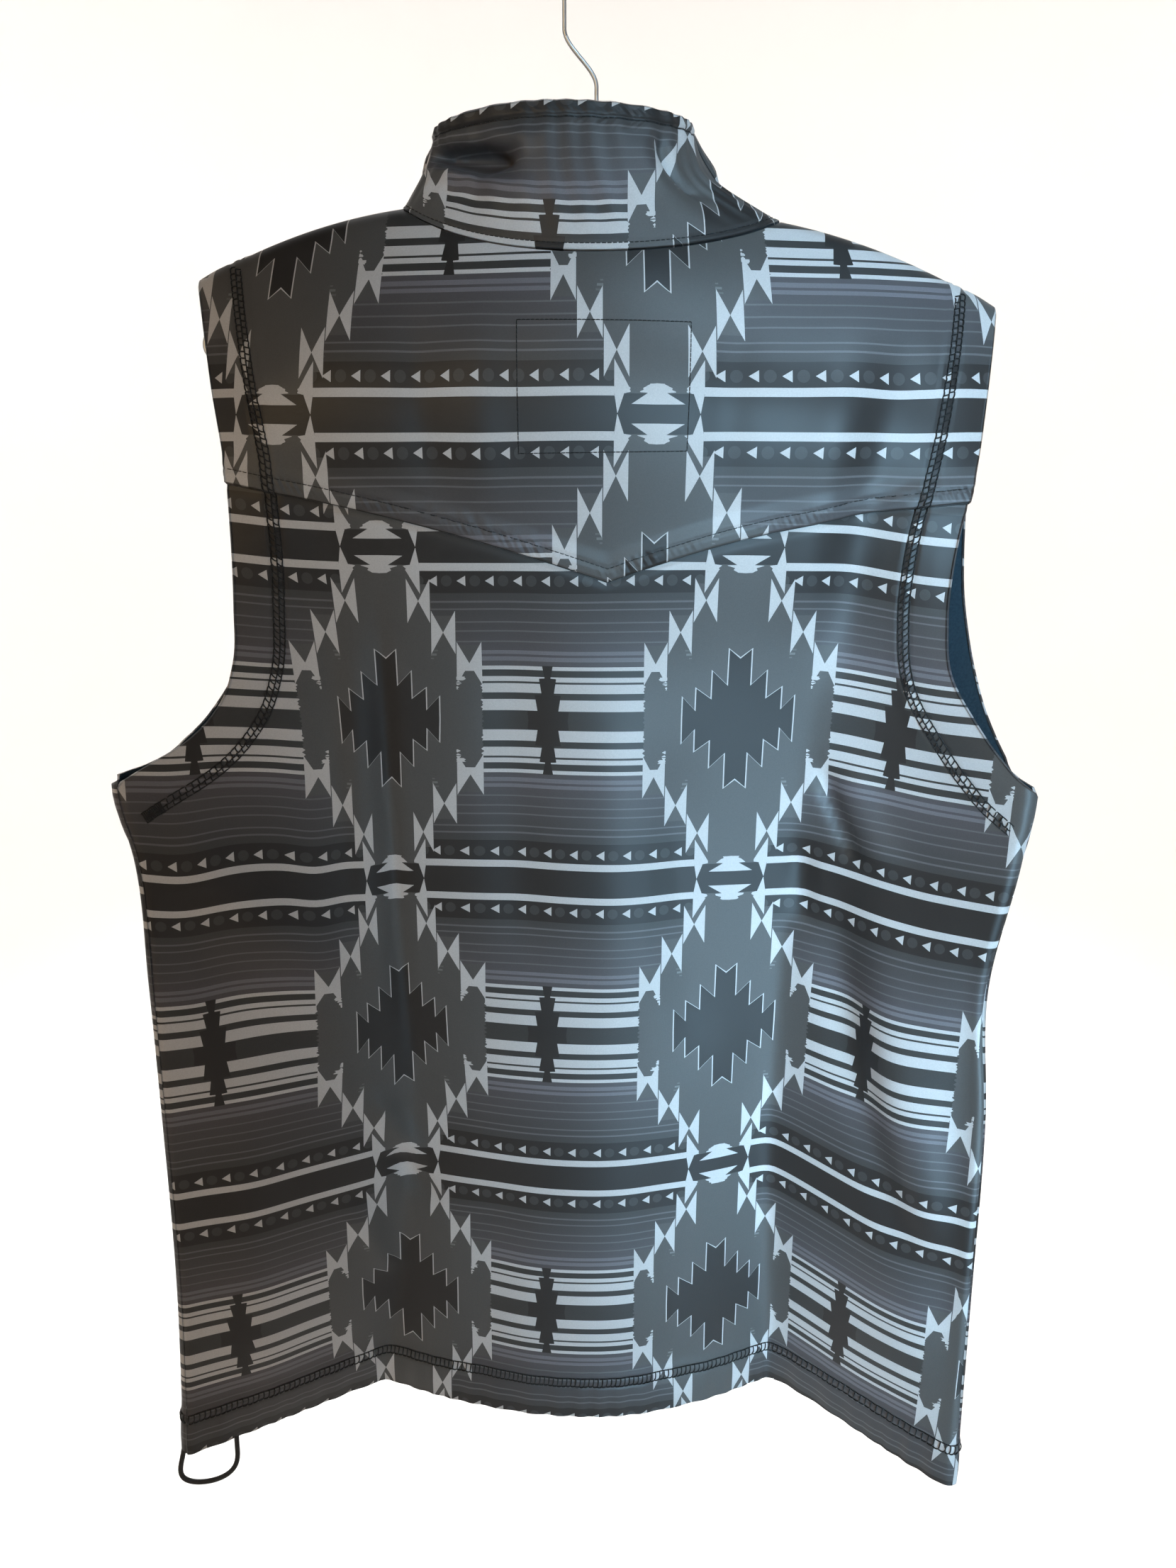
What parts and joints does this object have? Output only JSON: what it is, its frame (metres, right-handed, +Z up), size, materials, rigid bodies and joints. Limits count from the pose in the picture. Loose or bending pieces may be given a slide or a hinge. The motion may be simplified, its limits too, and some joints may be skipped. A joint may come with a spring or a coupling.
{
  "type": "softshell vest on a wire hanger",
  "caption": "Sleeveless softshell vest with a stand collar, pointed back yoke and closed front zip, hung from the hook of a wire hanger.",
  "frame": {"origin": "inside top of the hanger's hook, where it bears on a rail", "axes": "+Z up, +Y out of the vest's front, +X to the right of a viewer who faces the vest's back"},
  "size_m": [0.5149, 0.1553, 0.9173],
  "materials": {
    "printed_shell": "matt bonded softshell with a grey stripe and diamond print",
    "zip_tape": "black woven tape",
    "zip_teeth": "black moulded teeth",
    "zip_metal": "dark plated zinc",
    "elastic_cord": "black braided elastic",
    "hanger_wire": "bright drawn wire"
  },
  "bodies": {
    "vest": {"back_yoke": "printed_shell", "back_body": "printed_shell", "front_left": "printed_shell", "front_right": "printed_shell", "collar": "printed_shell", "zip_tape_left": "zip_tape", "zip_tape_right": "zip_tape", "zip_teeth": "zip_teeth", "zip_slider": "zip_metal", "hem_cord": "elastic_cord", "hanger": "hanger_wire"},
    "pull": {"zip_pull": "zip_metal"}
  },
  "joints": [
    {"name": "pull_hinge", "type": "hinge", "parent": "vest", "child": "pull", "pos_m": [-0.006, 0.0649, -0.16325], "axis": [1, 0, 0], "range_deg": [0, 150]}
  ]
}
